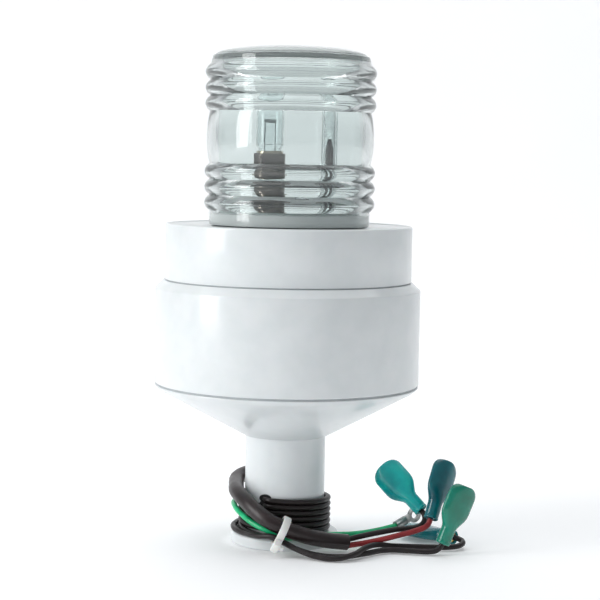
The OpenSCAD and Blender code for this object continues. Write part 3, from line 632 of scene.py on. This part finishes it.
def makeTie(s):
    # nylon strap with fine cross ridges inside, its head, and the cut stub of its tail
    out, inn, half = s["ringR"] - 0.12, s["innerR"], s["half"]
    strap = loft("tieStrap", [(-half + 0.2, out, out), (half - 0.2, out, out),
                              (half, out - 0.15, out - 0.15), (half, inn + 0.15, inn + 0.15),
                              (half - 0.2, inn, inn), (-half + 0.2, inn, inn),
                              (-half, inn + 0.15, inn + 0.15), (-half, out - 0.15, out - 0.15),
                              (-half + 0.2, out, out)], s["ridges"])
    headAt = Matrix.Rotation(math.radians(s["headTurnDeg"]), 4, "Z")
    parts = []
    for middle, size in s["blocks"]:
        deselectAll()
        bpy.ops.mesh.primitive_cube_add(size=mm)
        block = bpy.context.object
        block.scale = size
        bakePlace(block)
        addBevel(block, 0.35 * mm, 3, 40)
        block.matrix_world = headAt @ Matrix.Translation(Vector(middle) * mm)
        bakePlace(block)
        parts.append(block)
    joinInto(strap, *parts)
    strap.matrix_world = (Matrix.Translation(Vector(s["at"]) * mm)
                          @ Matrix.Rotation(math.radians(90 + s["slopeDeg"]), 4, "Y"))
    bakePlace(strap)
    smooth(strap, 40)
    return strap


standFor(makeTie(tieShape), "housing", "cable_tie")
print("cable tie made")


stageLook = {"floor": ("#F7F8F9", "#FBFBFC"), "halfWidth": 2.2, "backY": 1.6, "frontY": -1.4,
             "below": -0.0002, "wallTop": 2.2, "sweep": 0.5, "glow": 0.12, "room": "#E9EEF2",
             "roomStrength": 0.36}


def makeBackdrop(look):
    # a pale sheet that runs back along the floor and curves up behind
    deselectAll()
    middleY = (look["frontY"] + look["backY"]) / 2
    bpy.ops.mesh.primitive_plane_add(size=1, location=(0, middleY, look["below"]))
    sheet = bpy.context.object
    sheet.name = "paleSheet"
    sheet.scale = (2 * look["halfWidth"], look["backY"] - look["frontY"], 1)
    bakePlace(sheet)
    bpy.ops.object.mode_set(mode="EDIT")
    bpy.ops.mesh.select_mode(type="EDGE")
    bpy.ops.mesh.select_all(action="DESELECT")
    bpy.ops.object.mode_set(mode="OBJECT")
    for edge in sheet.data.edges:
        ends = [sheet.data.vertices[v].co.y for v in edge.vertices]
        edge.select = min(ends) > look["backY"] - 0.01
    bpy.ops.object.mode_set(mode="EDIT")
    bpy.ops.mesh.extrude_region_move(TRANSFORM_OT_translate={"value": (0, 0, look["wallTop"])})
    bpy.ops.object.mode_set(mode="OBJECT")
    addBevel(sheet, look["sweep"], 16, 60)
    smooth(sheet, 60)
    material, tree, shader, place = newMaterial("mattePaper", {"Roughness": 0.9})
    tone = mixColours(tree, noiseAt(tree, place, 400.0), *look["floor"], 0.3, 0.7)
    tree.links.new(tone, shader.inputs["Base Color"])
    shader.inputs["Emission Color"].default_value = hexColour("#FFFFFF")
    shader.inputs["Emission Strength"].default_value = look["glow"]
    sheet.data.materials.append(material)


lights = [
    {"name": "leftSoftbox", "at": (-1.02, -0.36, 0.42), "size": (0.4, 0.9), "watts": 7.5,
     "to": (0.0, 0.0, 0.08)},
    {"name": "topSoftbox", "at": (0.0, 0.1, 1.3), "size": (1.7, 1.7), "watts": 9.8,
     "to": (0.0, 0.0, 0.08)},
    {"name": "wallLight", "at": (0.0, 0.7, 1.5), "size": (2.4, 0.6), "watts": 7.5,
     "to": (0.0, 1.6, 0.5)},
]


def makeLight(facts):
    bpy.ops.object.light_add(type="AREA", location=facts["at"])
    lamp = bpy.context.object
    lamp.name = facts["name"]
    lamp.data.shape = "RECTANGLE"
    lamp.data.size, lamp.data.size_y = facts["size"]
    lamp.data.energy = facts["watts"]
    lamp.rotation_euler = (Vector(facts["to"]) - lamp.location).to_track_quat("-Z", "Y").to_euler()


makeBackdrop(stageLook)
for facts in lights:
    makeLight(facts)
world = bpy.data.worlds.new("paleRoom")
world.use_nodes = True
background = world.node_tree.nodes["Background"]
background.inputs["Color"].default_value = hexColour(stageLook["room"])
background.inputs["Strength"].default_value = stageLook["roomStrength"]
bpy.context.scene.world = world
bpy.context.scene.view_settings.view_transform = "Standard"
print("stage and lights made")


# each cord's far end and the pieces it carries
cordFacts = [
    ("lead_cable", "bare", []),
    ("lead_black", "connector", ["nylonSleeve1", "terminal_metal_1"]),
    ("lead_red", "connector", ["nylonSleeve2", "terminal_metal_2"]),
    ("wire_black_1", "connector", ["nylonSleeve3", "terminal_metal_3"]),
    ("wire_black_2", "connector", ["nylonSleeve4", "terminal_metal_4"]),
    ("wire_green", "connector", ["ring_terminal", "tieStrap"]),
]
for nodeName, end, carried in cordFacts:
    start = Vector(routes[nodeName][0]) * mm
